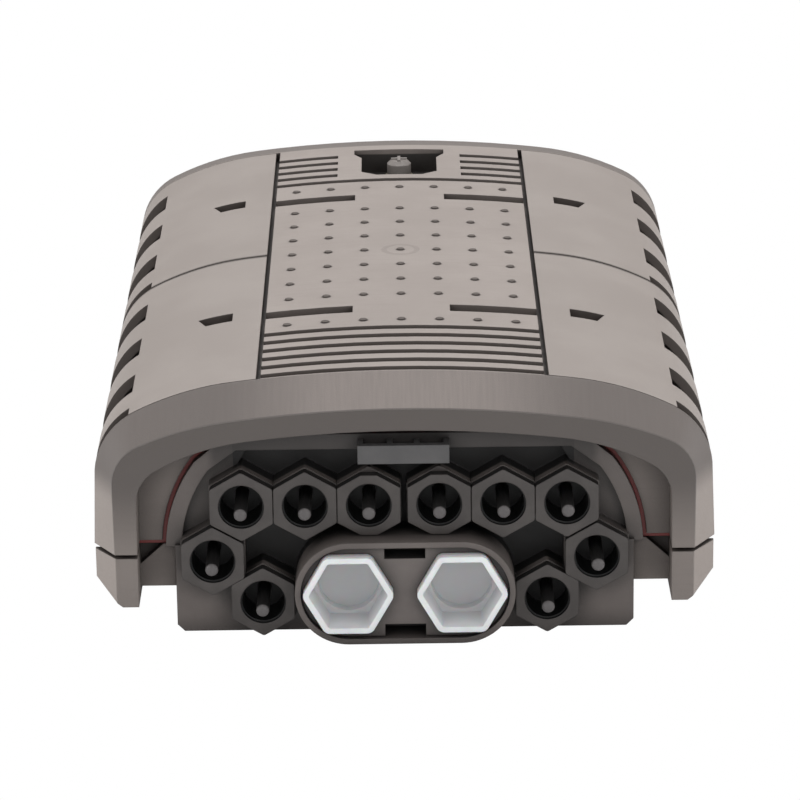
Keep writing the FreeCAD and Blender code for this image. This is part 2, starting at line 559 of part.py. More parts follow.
def build_latch(name, side, start, stop):
    """Curved panel on a hinge barrel; its upper edge lies on the crown arc, or past it on the blend."""
    body = new_body(name)
    start, stop = start + size("play") / 2, stop - size("play") / 2
    crest, edge, foot = size("crest"), size("strip_half") + size("edge_gap"), size("latch_foot")
    foot_x, wall = in_from_side("latch_foot_in"), size("latch_wall")
    outer, inner = Arch("", 0, side), Arch("", wall, side)
    if edge.value < inner.ends[0][0].value:
        over = [(edge * side, outer.on_crown(edge), outer.arc(0)), outer.end(0) + (outer.arc(1),)]
        under = [inner.end(0) + (inner.arc(0),), (edge * side, inner.on_crown(edge))]
    else:
        over = [(edge * side, outer.on_blend(edge), outer.arc(1))]
        under = [(edge * side, inner.on_blend(edge))]
    skirt = [outer.end(1) + (outer.arc(2),), outer.end(2), (foot_x * side, foot),
             ((foot_x - wall) * side, foot), inner.end(2) + (inner.arc(2),), inner.end(1) + (inner.arc(1),)]
    prism(body, "Panel", "Y", start, stop, [over + skirt + under])
    axle_x, axle_z, barrel = AXLE_X * side, size("axle_z"), size("barrel_r")
    arm_x, rise = (foot_x - size("arm_x")) * side, size("arm_rise")
    arm = [(axle_x, axle_z - OVER), (axle_x + barrel * side, axle_z), (foot_x * side, foot - OVER),
           (foot_x * side, foot + rise), (arm_x, foot + rise), (arm_x, foot - OVER),
           (axle_x, axle_z + size("arm_root"))]
    near, far = start + size("barrel_in"), stop - size("barrel_in")
    prism(body, "Arm", "Y", near, far, [arm])
    prism(body, "Barrel", "Y", near, far, [(axle_x, axle_z, barrel)])
    prism(body, "PinBore", "Y", near - OVER, far + OVER,
          [(axle_x, axle_z, size("axle_r") + size("axle_fit"))], cut=True)
    slot_x, past = in_from_side("slot_in") * side, (size("half_width") + OVER * 2) * side
    slots = [box_loop(slot_x, past,
                      start + size(place) - size("slot_w") / 2, start + size(place) + size("slot_w") / 2)
             for place in ("slot_1", "slot_2", "slot_3")]
    slots.append(box_loop(slot_x, past, start - OVER, start + size("slot_end")))
    prism(body, "Slots", "Z", size("slot_low"), crest, slots, cut=True)
    tool, middle = size("tool_x"), start + size("tool_y")
    reach = tool + size("tool_w")
    hole = [(tool * side, middle - size("tool_l") / 2), (tool * side, middle + size("tool_l") / 2),
            (reach * side, middle + size("tool_l") / 2),
            ((reach - size("tool_skew")) * side, middle - size("tool_l") / 2)]
    prism(body, "ToolHole", "Z", size("slot_low"), crest + OVER, [hole], cut=True)
    return body


def build_latch_pin(name, side, start, stop):
    y0 = start + size("lug_in") + size("pin_short")
    y1 = stop - size("lug_in") - size("pin_short")
    body = new_body(name, AXLE_X * side, y0, size("axle_z"))
    prism(body, "Rod", "Y", 0, y1 - y0, [(0, 0, size("axle_r"))])
    return body


def build_port_block(ports):
    body = new_body("port_block")
    belly, floor, corner = BELLY_HALF - size("block_fit"), size("belly_low"), size("belly_bevel")
    front, back, top = WALL_Y, PLATE_BACK, size("base_top")
    tongue = [(corner - belly, floor), (belly - corner, floor), (belly, floor + corner),
              (belly, top + OVER), (-belly, top + OVER), (-belly, floor + corner)]
    prism(body, "Tongue", "Y", front - size("tongue_out"), back, [tongue])
    prism(body, "Arch", "Y", front, back, [arch_loop(as_size(0))])
    prism(body, "Band", "Y", front - size("band_rise"), back, [arch_loop(as_size(0))])
    inner = arch_loop(-size("band"))
    inner[0] = (inner[0][0], top - OVER)
    inner[-1] = (inner[-1][0], top - OVER)
    prism(body, "BandInside", "Y", front - size("band_rise") - OVER, front, [inner], cut=True)
    pit_x, pit_top_x, pit_side, pit_top = size("pit_x"), size("pit_top_x"), size("pit_side"), size("pit_top")
    pit = [(-pit_x, size("pit_low")), (pit_x, size("pit_low")), (pit_x, pit_side), (pit_top_x, pit_top),
           (-pit_top_x, pit_top), (-pit_x, pit_side)]
    prism(body, "Pit", "Y", front - size("tongue_out") - OVER, back - size("pit_floor"), [pit], cut=True)
    for number, (x, z, _) in enumerate(ports, start=1):
        prism(body, "Tube%02d" % number, "Y", front - size("tube_out"), back,
              [hex_loop(x, z, size("tube_hex"), size("tube_round"), 30)])
    oval, mid, radius = size("oval_z"), size("oval_mid"), size("oval_r")
    prism(body, "Collar", "Y", front - size("oval_out"), back, [oval_loop(oval, mid, radius)])
    prism(body, "CollarBore", "Y", front - size("oval_out") - OVER, back + OVER,
          [oval_loop(oval, mid, radius - size("oval_wall"))], cut=True)
    prism(body, "TubeBores", "Y", front - size("tube_out") - OVER, back + OVER,
          [(x, z, size("tube_bore")) for x, z, _ in ports], cut=True)
    return body


def build_plug(name, x, z, trimmed):
    """Blanking plug: hexagonal rim, hollow stem behind it and a round-ended grip pin."""
    body = new_body(name, x, WALL_Y - size("tube_out"), z)
    rim_y = size("tube_out") - size("plug_front")
    floor_y = rim_y + size("plug_depth")
    rim = hex_loop(0, 0, size("plug_hex"), size("plug_round"), 30)
    if trimmed:
        rim = cut_hex_loop(0, 0, size("plug_hex"), size("flat_half"))
    prism(body, "Rim", "Y", rim_y, 0, [rim])
    prism(body, "Stem", "Y", -OVER, size("stem_in"), [(0, 0, size("stem_r"))])
    prism(body, "Recess", "Y", rim_y - OVER, floor_y, [(0, 0, size("stem_r") - size("stem_wall"))], cut=True)
    prism(body, "Mouth", "Y", rim_y - OVER, rim_y + size("lip"), [(0, 0, size("plug_bore"))], cut=True)
    tip = rim_y - size("pin_out")
    prism(body, "Pin", "Y", tip, floor_y + OVER, [(0, 0, size("pin_r"))])
    rounded(body, "PinTip", size("pin_round"), size("pin_r").value)
    return body


def build_insert():
    body = new_body("main_port_insert")
    front = WALL_Y - size("oval_out") + size("insert_in")
    back = front + size("insert_l")
    oval, gap = size("oval_z"), size("insert_gap")
    prism(body, "Block", "Y", front, back,
          [oval_loop(oval, size("oval_mid"), size("oval_r") - size("oval_wall") - gap)])
    for name, side in (("Right", 1), ("Left", -1)):
        seat = hex_loop(size("cap_x") * side, oval, size("cap_hex") + gap, size("cap_round") + gap, 0)
        prism(body, name + "Seat", "Y", front - OVER, back + OVER, [seat], cut=True)
    high, low = oval + size("oval_r"), oval - size("oval_r")
    notch, depth = size("notch_x"), size("notch_z") + size("oval_wall")
    prism(body, "Notches", "Y", front - OVER, front + size("notch_l"),
          [box_loop(-notch, notch, high - depth, high), box_loop(-notch, notch, low, low + depth)], cut=True)
    return body


def build_cap(name, side):
    front = WALL_Y - size("oval_out") - size("cap_out")
    body = new_body(name, size("cap_x") * side, front, size("oval_z"))
    length, hexagon, corner, wall = size("cap_l"), size("cap_hex"), size("cap_round"), size("cap_wall")
    prism(body, "Cup", "Y", 0, length, [hex_loop(0, 0, hexagon, corner, 0)])
    hollow = size("cup_hex_l")
    prism(body, "Inside", "Y", -OVER, hollow, [hex_loop(0, 0, hexagon - wall, corner - wall, 0)], cut=True)
    prism(body, "Bottom", "Y", hollow - OVER, length - wall, [(0, 0, size("cup_r"))], cut=True)
    return body


def build_seal():
    """One moulded ring on the seam; it rises over the end plate's arch at the front."""
    body = new_body("seal_ring")
    low, high = size("base_top"), size("cover_foot")
    x0, x1, lip = in_from_side("seal_inner"), in_from_side("seal_outer"), size("seal_lip")
    front, back, rear = WALL_Y + size("seal_front"), PLATE_BACK, REAR_Y - size("rear_wall")
    prism(body, "Ring", "Z", low, high, [box_loop(-x1, x1, front, rear + size("seal_rear"))])
    inside = [box_loop(-x0, x0, back, rear + lip), box_loop(-ARCH_FOOT, ARCH_FOOT, front - OVER, back - lip)]
    prism(body, "RingInside", "Z", low - OVER, high + OVER, inside, cut=True)
    prism(body, "Bow", "Y", front, back, [arch_loop(size("seal"))])
    prism(body, "BowInside", "Y", front - OVER, back + OVER, [arch_loop(as_size(0))], cut=True)
    prism(body, "Throat", "Z", low - OVER, high,
          [box_loop(-ARCH_FOOT, ARCH_FOOT, front - OVER, back + OVER)], cut=True)
    return body


def build_clip():
    body = new_body("front_clip")
    half, thick, post = size("clip_half"), size("clip_t"), size("clip_post")
    face, wall, inner = WALL_Y - size("clip_out"), WALL_Y - size("band_rise"), size("clip_inner")
    prism(body, "Bar", "Y", face, face + thick, [box_loop(-half, half, size("clip_low"), size("clip_high"))])
    posts = [box_loop(x, x + post, size("clip_high") - thick, size("clip_high"))
             for x in (-half, -inner, inner - post, half - post)]
    prism(body, "Posts", "Y", face + thick / 2, wall, posts)
    return body


def build_valve():
    floor, thread = WELL_FLOOR, size("valve_thread")
    body = new_body("valve_body", 0, VALVE_Y, floor)
    stem, collar, core = size("stem_valve_r"), size("valve_r"), size("core_r")
    bore, rise, height = core + size("core_fit"), size("valve_h") / 2, size("stem_h")
    drop = size("wall") + size("nut_h") + thread
    turned(body, "Body", [(bore, -drop), (stem, -drop), (stem, 0), (collar, 0), (collar, rise),
                          (stem, rise), (stem, height), (bore, height)])
    core_body = new_body("valve_core", 0, VALVE_Y, floor)
    tip_r, tip = size("core_tip_r"), height - size("core_tip")
    turned(core_body, "Core", [(0, thread - drop), (core, thread - drop), (core, height - thread),
                               (tip_r, height - thread), (tip_r, tip), (0, tip)])
    nut = new_body("valve_nut", 0, VALVE_Y, floor - size("wall"))
    prism(nut, "Nut", "Z", -size("nut_h"), 0,
          [hex_loop(0, 0, size("nut_hex"), size("nut_round"), 0), (0, 0, stem + size("nut_fit"))])
    cap = new_body("valve_cap", 0, VALVE_Y, floor + rise)
    outer, tall, dome = size("cap_r"), size("cap_h"), size("cap_dome")
    inner, seat, roof = size("cap_bore"), size("cap_seat"), tall - size("cap_roof")
    turned(cap, "Cap", [(inner, seat), (outer, seat), (outer, tall - dome), (outer - dome, tall),
                        (0, tall), (0, roof), (inner, roof)])
    long, wide = size("cross_half"), size("cross_w")
    prism(cap, "Cross", "Z", tall - seat, tall + wide,
          [[(-long, -wide), (-wide, -wide), (-wide, -long), (wide, -long), (wide, -wide), (long, -wide),
            (long, wide), (wide, wide), (wide, long), (-wide, long), (-wide, wide), (-long, wide)]])
    return [body, core_body, nut, cap]


def build_organiser():
    """Tray carrier on the base's bosses, three hinged splice trays, their pin, lid and strap."""
    z0, thick = size("plate_z"), size("plate_t")
    plate = new_body("tray_carrier", 0, 0, z0)
    px, py = size("plate_x"), size("plate_y")
    prism(plate, "Sheet", "Z", 0, thick, [box_loop(-px, px, -py, py)])
    hole_r = size("screw_r") + size("screw_hole_fit")
    holes = [(size("boss_x") * sx, size("boss_y") * sy, hole_r) for sx in (1, -1) for sy in (1, -1)]
    prism(plate, "ScrewHoles", "Z", -OVER, thick + OVER, holes, cut=True)
    eye, hinge_y = size("hinge_eye"), size("hinge_y")
    pin_z = size("cheek_h") + size("hinge_rise")
    cheeks = [[(hinge_y - eye, thick - OVER), (hinge_y + eye, thick - OVER), (hinge_y + eye, pin_z + eye),
               (hinge_y - eye, pin_z + eye)]]
    cheek_x, cheek_out = size("cheek_x"), size("cheek_x") + size("cheek_t")
    for name, low, high in (("RightCheek", cheek_x, cheek_out), ("LeftCheek", -cheek_out, -cheek_x)):
        prism(plate, name, "X", low, high, cheeks)
    prism(plate, "PinHoles", "X", -cheek_out - OVER, cheek_out + OVER,
          [(hinge_y, pin_z, size("hinge_r") + size("hinge_fit"))], cut=True)
    pin = new_body("tray_hinge_pin", 0, hinge_y, z0 + pin_z)
    pin_half = cheek_out + size("hinge_past")
    prism(pin, "Rod", "X", -pin_half, pin_half, [(0, 0, size("hinge_r"))])
    parts = [plate, pin]
    tx, ty, tray_t, height = size("tray_x"), size("tray_y"), size("tray_t"), size("tray_h")
    for number in range(3):
        bottom = size("tray_z") + size("tray_pitch") * number
        tray = new_body("splice_tray_%d" % (number + 1), 0, size("tray_mid"), bottom)
        prism(tray, "Pan", "Z", 0, height, [round_box_loop(tx, -ty, ty, size("tray_r"))])
        prism(tray, "Inside", "Z", tray_t, height + OVER,
              [round_box_loop(tx - tray_t, -ty + tray_t, ty - tray_t, size("tray_r") - tray_t)], cut=True)
        for side_y, name in ((1, "Rear"), (-1, "Front")):
            ring = [(size("drum_x") * sx, size("drum_y") * side_y, size("drum_r")) for sx in (1, -1)]
            inner = [(x, y, radius - tray_t) for x, y, radius in ring]
            prism(tray, name + "Drums", "Z", tray_t - size("drum_root"), height - size("drum_low"),
                  ring + inner)
        comb = new_body("splice_comb_%d" % (number + 1), 0, size("tray_mid"), bottom + tray_t)
        cx, cy = size("comb_x"), size("comb_y")
        prism(comb, "Block", "Z", 0, size("comb_h"), [box_loop(-cx, cx, -cy, cy)])
        slots = [box_loop(size("comb_pitch") * (step - 3.5) - size("comb_slot") / 2,
                          size("comb_pitch") * (step - 3.5) + size("comb_slot") / 2, -cy - OVER, cy + OVER)
                 for step in range(8)]
        prism(comb, "Slots", "Z", size("comb_floor"), size("comb_h") + OVER, slots, cut=True)
        parts += [tray, comb]
    top = size("tray_z") + size("tray_pitch") * 3
    lid = new_body("tray_lid", 0, size("tray_mid"), top)
    prism(lid, "Lid", "Z", 0, size("lid_t"), [round_box_loop(tx, -ty, ty, size("tray_r"))])
    strap = new_body("tray_strap", 0, 0, z0 + thick)
    gap, band = size("strap_gap"), size("strap_t")
    high, reach = top + size("lid_t") - z0 - thick + gap, tx + gap
    prism(strap, "Loop", "Y", 0, size("strap_w"),
          [box_loop(-reach - band, reach + band, 0, high + band), box_loop(-reach, reach, band, high)])
    clamps = []
    for name, side in (("right", 1), ("left", -1)):
        clamp = new_body("strength_clamp_" + name, size("clamp_x") * side, size("clamp_y"),
                         size("belly_low") + size("wall"))
        wide, groove = size("clamp_w") / 2, size("clamp_groove")
        prism(clamp, "Block", "Z", 0, size("clamp_h"), [box_loop(-wide, wide, 0, size("clamp_l"))])
        prism(clamp, "Grooves", "Y", -OVER, size("clamp_l") + OVER,
              [(-wide / 2, size("clamp_h"), groove), (wide / 2, size("clamp_h"), groove)], cut=True)
        clamps.append(clamp)
    return parts + [lid, strap] + clamps


def solid_screws(places):
    """The screws as one object of four separate solids, sized from the sheet."""
    radius, fit, head_r, head, slot_w = (
        sheet.get(name) for name in ("screw_r", "screw_fit", "screw_head_r", "screw_head", "screw_slot"))
    length = sheet.get("boss_top") - sheet.get("belly_low") - sheet.get("wall") + sheet.get("plate_t")
    solids = []
    for x, y in places:
        shank = Part.makeCylinder(radius - fit, length, FreeCAD.Vector(x.value, y.value, -length))
        top = Part.makeCylinder(head_r, head, FreeCAD.Vector(x.value, y.value, 0))
        corner = FreeCAD.Vector(x.value - head_r, y.value - slot_w / 2, head / 2)
        slot = Part.makeBox(head_r * 2, slot_w, head, corner)
        solids.append(top.fuse(shank).cut(slot))
    screws = doc.addObject("Part::Feature", "carrier_screws")
    screws.Label = "carrier_screws"
    screws.Shape = Part.makeCompound(solids)
    screws.Placement = FreeCAD.Placement(
        FreeCAD.Vector(0, 0, sheet.get("plate_z") + sheet.get("plate_t")), FreeCAD.Rotation())
    return screws


# Ports: a row of six, the middle two with level-cut plugs, then one pair beside and one below it.
ports = [((size("port_first") + size("port_pitch") * step) * side, size("port_high_z"), step == 0)
         for side, step in ((-1, 2), (-1, 1), (-1, 0), (1, 0), (1, 1), (1, 2))]
for row in ("mid", "low"):
    ports += [(size("port_%s_x" % row) * side, size("port_%s_z" % row), False) for side in (-1, 1)]

nodes = [build_base(), build_cover(), build_port_block(ports), build_seal(), build_insert(), build_clip()]
for number, (x, z, trimmed) in enumerate(ports, start=1):
    nodes.append(build_plug("port_plug_%02d" % number, x, z, trimmed))
for name, side in (("right", 1), ("left", -1)):
    nodes.append(build_cap("main_cap_" + name, side))
    for place, start, stop in (("front", VISOR_Y, size("split_y")), ("rear", size("split_y"), STRIP_END)):
        nodes.append(build_latch("latch_%s_%s" % (place, name), side, start, stop))
        nodes.append(build_latch_pin("latch_pin_%s_%s" % (place, name), side, start, stop))
nodes += build_valve()
nodes += build_organiser()
nodes.append(solid_screws([(size("boss_x") * sx, size("boss_y") * sy) for sx in (1, -1) for sy in (1, -1)]))

doc.recompute()
bad = [item.Label for item in doc.Objects if {"Invalid", "Error"} & set(item.State)]
if bad:
    raise RuntimeError("did not rebuild: %s" % ", ".join(bad))
os.makedirs("parts", exist_ok=True)
for node in nodes:
    if node.Shape.isNull() or not node.Shape.isValid():
        raise RuntimeError("%s has no sound shape" % node.Label)
    node.Shape.exportStep("parts/%s.step" % node.Label)
    box = node.Shape.BoundBox
    print("%-24s solids %d volume %10.1f  x %.2f %.2f  y %.2f %.2f  z %.2f %.2f" % (
        node.Label, len(node.Shape.Solids), node.Shape.Volume, box.XMin, box.XMax, box.YMin, box.YMax,
        box.ZMin, box.ZMax))
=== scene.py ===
import math

import bpy
from mathutils import Matrix, Vector


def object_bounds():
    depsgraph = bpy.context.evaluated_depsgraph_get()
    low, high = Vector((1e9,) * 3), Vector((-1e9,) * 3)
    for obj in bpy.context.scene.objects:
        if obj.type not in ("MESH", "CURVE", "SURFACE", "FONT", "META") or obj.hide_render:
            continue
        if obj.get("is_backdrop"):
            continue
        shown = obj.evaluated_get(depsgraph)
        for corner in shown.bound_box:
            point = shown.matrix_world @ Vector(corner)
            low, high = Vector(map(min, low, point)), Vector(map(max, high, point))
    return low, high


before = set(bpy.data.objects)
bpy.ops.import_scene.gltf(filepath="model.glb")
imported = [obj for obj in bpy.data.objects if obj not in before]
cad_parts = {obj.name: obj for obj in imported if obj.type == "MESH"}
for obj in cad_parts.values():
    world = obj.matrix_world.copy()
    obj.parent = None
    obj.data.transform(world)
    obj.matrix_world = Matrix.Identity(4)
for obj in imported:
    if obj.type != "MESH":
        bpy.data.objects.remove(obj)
cad_low, cad_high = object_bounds()

# Cover and base shells: one weatherproof injection moulding each in grey-brown plastic, with a fine eroded
# skin. Painted shade darkens the rear rim, the visor and its lip, the grooves, the pips and the flanks
# under the latches, and the valve well is painted black for its shade. The four latches hold the cover on
# the base.


class Field:
    """A shader socket that takes arithmetic, so that a mask over the surface reads as a formula."""

    def __init__(self, graph, socket):
        self.graph = graph
        self.socket = socket

    def work(self, operation, *terms):
        return self.graph.node("ShaderNodeMath", {"operation": operation}, dict(enumerate(terms)))

    def __add__(self, other):
        return self.work("ADD", self, other)

    def __sub__(self, other):
        return self.work("SUBTRACT", self, other)

    def __rsub__(self, other):
        return self.work("SUBTRACT", other, self)

    def __mul__(self, other):
        return self.work("MULTIPLY", self, other)

    def __truediv__(self, other):
        return self.work("DIVIDE", self, other)

    def __pow__(self, other):
        return self.work("POWER", self, other)

    def __abs__(self):
        return self.work("ABSOLUTE", self)

    def __round__(self):
        return self.work("ROUND", self)

    __radd__ = __add__
    __rmul__ = __mul__

    def step(self, low, high):
        """0 below low and 1 above high, smooth between."""
        return self.graph.node("ShaderNodeMapRange", {"interpolation_type": "SMOOTHSTEP"},
                               {"Value": self, "From Min": low, "From Max": high})

    def above(self, low, soft):
        """0 up to low, rising to 1 over a soft edge above it."""
        return self.step(low, low + soft)

    def below(self, high, soft):
        """1 up to high, falling to 0 over a soft edge above it."""
        return 1 - self.above(high, soft)

    def between(self, low, high, soft):
        """1 from low to high, falling to 0 over a soft edge outside them."""
        return self.above(low - soft, soft) - self.above(high, soft)


class Graph:
    """The node tree of a material or of the world."""

    def __init__(self, tree):
        self.tree = tree

    def join(self, slot, value):
        """Links a field to a socket, or sets the socket to a plain value."""
        if isinstance(value, Field):
            self.tree.links.new(value.socket, slot)
        else:
            slot.default_value = value

    def node(self, kind, settings, inputs, output=0):
        """Adds a node, sets it, fills its sockets and returns one of its outputs."""
        made = self.tree.nodes.new(kind)
        for name, value in settings.items():
            setattr(made, name, value)
        for name, value in inputs.items():
            self.join(made.inputs[name], value)
        return Field(self, made.outputs[output])


class Finish(Graph):
    """The material of one finish, round its Principled shader."""

    def __init__(self, name):
        self.material = bpy.data.materials.new(name)
        self.material.use_nodes = True
        super().__init__(self.material.node_tree)
        self.shader = self.tree.nodes["Principled BSDF"]

    def place(self, measure="Object"):
        """Position: Object is metres in the part's frame, Generated runs from 0 to 1 over a node's box."""
        return self.node("ShaderNodeTexCoord", {}, {}, measure)

    def axis(self, name, measure="Object"):
        return self.node("ShaderNodeSeparateXYZ", {}, {"Vector": self.place(measure)}, name)

    def noise(self, scale, detail, rough, stretch=None):
        """Noise with so many grains to the metre, drawn out along an axis whose stretch is below 1."""
        where = self.place()
        if stretch:
            where = self.node("ShaderNodeVectorMath", {"operation": "MULTIPLY"}, {0: where, 1: stretch})
        return self.node("ShaderNodeTexNoise", {}, {"Vector": where, "Scale": scale, "Detail": detail,
                                                   "Roughness": rough})

    def mix(self, share, first, second):
        return self.node("ShaderNodeMix", {"data_type": "RGBA"}, {0: share, 6: first, 7: second}, 2)

    def mottled(self, cloud, first, second, low=0.35, high=0.70):
        """Two tones that pass into each other where the noise runs from low to high."""
        return self.mix(cloud.step(low, high), first, second)

    def openness(self, reach, samples=6):
        """1 where nothing stands over the surface within the reach, less in a hollow."""
        return self.node("ShaderNodeAmbientOcclusion", {"samples": samples}, {"Distance": reach}, "AO")

    def hollow(self, tone, dark, reach, power):
        """Paints shade into a tone in hollows narrower than the reach."""
        return self.mix(self.openness(reach) ** power, dark, tone)

    def relief(self, height, strength, depth, rounding):
        """Surface relief over edges that are softened by a small radius."""
        soft = self.node("ShaderNodeBevel", {"samples": 4}, {"Radius": rounding})
        return self.node("ShaderNodeBump", {}, {"Height": height, "Strength": strength, "Distance": depth,
                                                "Normal": soft})

    def feed(self, **inputs):
        for name, value in inputs.items():
            self.join(self.shader.inputs[name.replace("_", " ")], value)

    def paint(self, *nodes):
        for name in nodes:
            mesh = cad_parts[name].data
            mesh.materials.clear()
            mesh.materials.append(self.material)


skin, crest_skin = (0.284, 0.246, 0.225, 1), (0.312, 0.272, 0.250, 1)
scuff, scuff_low, scuff_high, scuff_share = (0.37, 0.333, 0.311, 1), 0.62, 0.80, 0.30
hair_line, hair_low, hair_high, hair_share = (0.20, 0.172, 0.157, 1), 0.45, 0.75, 0.16
rim_y, rim_soft, rim_painted_shade, rim_share = 0.1502, 0.0006, (0.120, 0.104, 0.096, 1), 0.80
strip_mid, strip_z, strip_soft = 0.0025, 0.088, 0.001
pip_pitch_x, pip_pitch_y, pip_end_y = 0.01345, 0.01845, 0.0855
pip_r, pip_soft, pips_half, rows_half = 0.0014, 0.0006, 0.0425, 0.060
pip_painted_shade, pip_share, pip_rough = (0.070, 0.057, 0.051, 1), 0.85, 0.3
ring_inner, ring_outer, ring_soft = 0.0055, 0.0068, 0.0006
ring_painted_shade, ring_share, ring_sunk = (0.12, 0.10, 0.09, 1), 0.22, 2.0
visor_y, visor_soft, visor_low, visor_high = -0.1402, 0.0006, 0.050, 0.062
visor_mid_painted_light, visor_side_painted_shade = (0.222, 0.191, 0.176, 1), (0.133, 0.114, 0.105, 1)
visor_in, visor_out, visor_streak = 0.018, 0.066, (0.100, 0.086, 0.079, 1)
streak_low, streak_high, streak_share = 0.3, 0.7, 0.15
lip_y, lip_soft, lip_low, lip_least, lip_painted_shade = -0.1521, 0.0003, 0.030, 0.45, (0.105, 0.091, 0.084, 1)
well_half, well_front, well_rear, well_soft = 0.0190, 0.1055, 0.1450, 0.0002
well_low, well_high, well_blend, well_painted_shade = 0.0700, 0.0915, 0.0006, (0.022, 0.023, 0.022, 1)
flank_x, flank_blend, flank_front, flank_rear, flank_soft = 0.0488, 0.0006, -0.1372, 0.1496, 0.0002
flank_reach, flank_open, flank_painted_shade = 0.025, 0.88, (0.032, 0.025, 0.022, 1)
groove_painted_shade, groove_reach, groove_power = (0.030, 0.023, 0.020, 1), 0.014, 1.5

shell = Finish("shell_plastic")
across, along, rise = shell.axis("X"), shell.axis("Y"), shell.axis("Z")
grain = shell.noise(scale=2600.0, detail=2.0, rough=0.6)
cloud = shell.noise(scale=26.0, detail=4.0, rough=0.6)
speck = shell.noise(scale=420.0, detail=3.0, rough=0.7)
hairs = shell.noise(scale=800.0, detail=3.0, rough=0.6, stretch=(0.05, 1.0, 1.0))
tone = shell.mottled(cloud, skin, crest_skin)
tone = shell.mix(scuff_share * speck.step(scuff_low, scuff_high), tone, scuff)
tone = shell.mix(hair_share * hairs.step(hair_low, hair_high), tone, hair_line)
# Painted shade: the rear rim is painted darker where its edge slopes away from the light.
tone = shell.mix(rim_share * along.above(rim_y, rim_soft), tone, rim_painted_shade)

# The pips: seven columns in seven rows, with one row more beyond the bars at each end, painted dark for the
# shade on them. A shallow ring lies round the middle one, painted darker for the shade in it.
from_mid = along - strip_mid
column, row = across / pip_pitch_x, from_mid / pip_pitch_y
aside, off_row = (column - round(column)) * pip_pitch_x, (row - round(row)) * pip_pitch_y
off_end = abs(from_mid) - pip_end_y
top = rise.above(strip_z, strip_soft)
near = ((aside * aside + off_row * off_row) ** 0.5).below(pip_r, pip_soft)
far = ((aside * aside + off_end * off_end) ** 0.5).below(pip_r, pip_soft)
pips = near * abs(from_mid).below(rows_half, strip_soft) + far
pips = pips * abs(across).below(pips_half, strip_soft) * top
tone = shell.mix(pip_share * pips, tone, pip_painted_shade)
ring = ((across * across + from_mid * from_mid) ** 0.5).between(ring_inner, ring_outer, ring_soft) * top
tone = shell.mix(ring_share * ring, tone, ring_painted_shade)

# The visor, painted darker for its shade and paler in its middle for the light there, finely streaked along
# the draw, and the lip at its front edge, painted darker still for its shade, most towards its top.
streak = shell.noise(scale=900.0, detail=3.0, rough=0.6, stretch=(1.0, 0.06, 0.06))
sloped = shell.mix(abs(across).step(visor_in, visor_out), visor_mid_painted_light, visor_side_painted_shade)
sloped = shell.mix(streak_share * streak.step(streak_low, streak_high), sloped, visor_streak)
visor = along.below(visor_y, visor_soft) * rise.step(visor_low, visor_high)
tone = shell.mix(visor, tone, sloped)
lip = along.below(lip_y, lip_soft) * (lip_least + (1 - lip_least) * rise.step(lip_low, visor_high))
tone = shell.mix(lip, tone, lip_painted_shade)

# Painted shade: the black valve well, the flanks where a latch lies over them, and the grooves.
well = abs(across).below(well_half, well_soft) * along.between(well_front, well_rear, well_soft)
tone = shell.mix(well * rise.between(well_low, well_high, well_blend), tone, well_painted_shade)
flank = abs(across).above(flank_x, flank_blend) * along.between(flank_front, flank_rear, flank_soft)
covered = 1 - shell.openness(flank_reach, samples=16).step(flank_open, 1.0)
tone = shell.mix(flank * covered, tone, flank_painted_shade)
tone = shell.hollow(tone, groove_painted_shade, groove_reach, groove_power)
shell.feed(Base_Color=tone, Roughness=0.52 + 0.12 * cloud + pip_rough * pips,
           Normal=shell.relief(grain - ring_sunk * ring, strength=0.35, depth=0.0002, rounding=0.0006))
shell.paint("cover_shell", "base_shell")

# Strength member clamps: two die-cast blocks on the floor of the base, each with two grooves for the
# strength members of the cables.
cast_grey, cast_crest = (0.50, 0.50, 0.51, 1), (0.58, 0.58, 0.59, 1)
clamp = Finish("clamp_metal")
cloud = clamp.noise(scale=400.0, detail=3.0, rough=0.6)
clamp.feed(Base_Color=clamp.mix(cloud, cast_grey, cast_crest), Metallic=1.0, Roughness=0.35 + 0.2 * cloud,
           Normal=clamp.relief(cloud, strength=0.2, depth=0.0002, rounding=0.0004))
clamp.paint("strength_clamp_left", "strength_clamp_right")

# Splice trays and their carrier: light grey mouldings inside the closed box. The carrier is screwed on the
# bosses of the base, and the three trays are stacked over it.
tray_grey, tray_crest = (0.56, 0.56, 0.54, 1), (0.62, 0.62, 0.60, 1)
tray = Finish("tray_plastic")
cloud = tray.noise(scale=60.0, detail=3.0, rough=0.6)
tray.feed(Base_Color=tray.mix(cloud, tray_grey, tray_crest), Roughness=0.45,
          Normal=tray.relief(cloud, strength=0.1, depth=0.0003, rounding=0.0004))
tray.paint("splice_tray_1", "splice_tray_2", "splice_tray_3", "tray_carrier")

# Splice combs: soft grey moulded rubber blocks, one on the floor of each tray, whose slots grip the splice
# sleeves.
rubber, rubber_crest = (0.26, 0.28, 0.31, 1), (0.31, 0.33, 0.36, 1)
comb = Finish("comb_rubber")
cloud = comb.noise(scale=300.0, detail=3.0, rough=0.6)
comb.feed(Base_Color=comb.mix(cloud, rubber, rubber_crest), Roughness=0.7,
          Normal=comb.relief(cloud, strength=0.2, depth=0.0002, rounding=0.0004))
comb.paint("splice_comb_1", "splice_comb_2", "splice_comb_3")

# Tray lid: a thin clear moulded plate that lies on the top tray. The strap goes over it and keeps it
# in place.
lid_clear, lid_crest = (0.74, 0.78, 0.80, 1), (0.80, 0.84, 0.86, 1)
lid = Finish("lid_clear")
cloud = lid.noise(scale=50.0, detail=2.0, rough=0.5)
lid.feed(Base_Color=lid.mix(cloud, lid_clear, lid_crest), Roughness=0.15, Alpha=0.45,
         Normal=lid.relief(cloud, strength=0.05, depth=0.0003, rounding=0.0003))
lid.paint("tray_lid")

